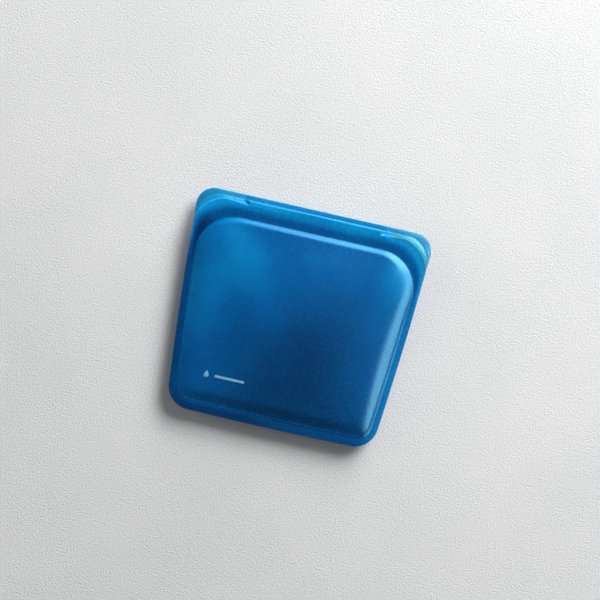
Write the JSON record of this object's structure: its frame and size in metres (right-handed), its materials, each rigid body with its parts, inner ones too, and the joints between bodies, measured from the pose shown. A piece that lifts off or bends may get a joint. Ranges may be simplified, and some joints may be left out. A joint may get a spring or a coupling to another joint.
{
  "type": "reusable silicone food bag",
  "caption": "Flat translucent blue silicone storage bag with a pillow-shaped pocket, a press-to-close mouth and two flexing pull lips.",
  "frame": {"origin": "on the surface the bag lies on, under the centre of its outline", "axes": "bag lying on its back: +Z out of the front wall, +Y towards the mouth, +X across the bag"},
  "size_m": [0.1898, 0.177, 0.025],
  "materials": {
    "silicone": "satin translucent",
    "seal_strip": "satin translucent",
    "cured_bond": "satin translucent",
    "pale_print": "matt print"
  },
  "bodies": {
    "bag": {"back_wall": "silicone", "front_rim": "silicone", "seam_bond": "cured_bond", "seal_channel": "seal_strip"},
    "front_wall": {"front_wall": "silicone", "seal_rib": "seal_strip", "printed_mark": "pale_print"},
    "front_lip": {"front_lip": "silicone", "front_grip": "silicone"},
    "back_lip": {"back_lip": "silicone", "back_grip": "silicone"}
  },
  "joints": [
    {"name": "mouth_opening", "type": "hinge", "parent": "bag", "child": "front_wall", "pos_m": [0, -0.08235, 0.0142], "axis": [1, 0, 0], "range_deg": [0, 10], "stiffness_Nm_per_rad": 0.4},
    {"name": "front_lip_flex", "type": "hinge", "parent": "front_wall", "child": "front_lip", "pos_m": [0, 0.07905, 0.0142], "axis": [1, 0, 0], "range_deg": [0, 60], "stiffness_Nm_per_rad": 0.002},
    {"name": "back_lip_flex", "type": "hinge", "parent": "bag", "child": "back_lip", "pos_m": [0, 0.07905, 0.0108], "axis": [-1, 0, 0], "range_deg": [0, 60], "stiffness_Nm_per_rad": 0.002, "springref_deg": -5.73}
  ]
}
